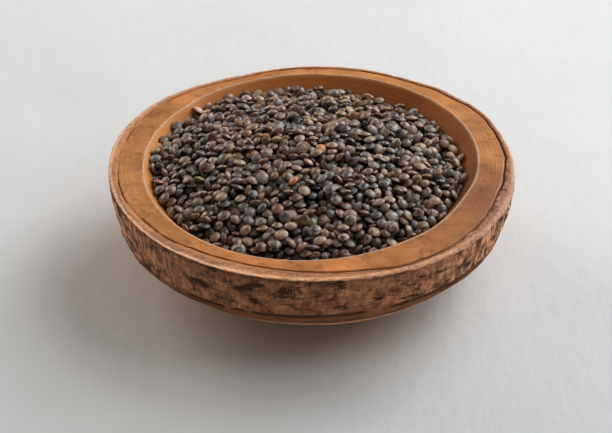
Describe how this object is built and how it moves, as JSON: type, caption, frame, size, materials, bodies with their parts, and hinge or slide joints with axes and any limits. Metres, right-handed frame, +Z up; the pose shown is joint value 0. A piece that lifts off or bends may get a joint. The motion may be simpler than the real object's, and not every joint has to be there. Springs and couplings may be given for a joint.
{
  "type": "bowl of dry lentils",
  "caption": "Thick-rimmed, hand-worked wooden bowl heaped with small dry green lentils.",
  "frame": {"origin": "middle of the bowl's outline, at the height of the foot", "axes": "+Z up out of the bowl, +X along its longest side across, -Y towards the front"},
  "size_m": [0.1588, 0.1542, 0.054],
  "materials": {
    "wood": "oiled, worn, with rough bark on the side",
    "lentils": "satin seed coats, speckled grey green to brown"
  },
  "bodies": {
    "root": {"bowl": "wood", "lentils": "lentils"}
  },
  "joints": []
}
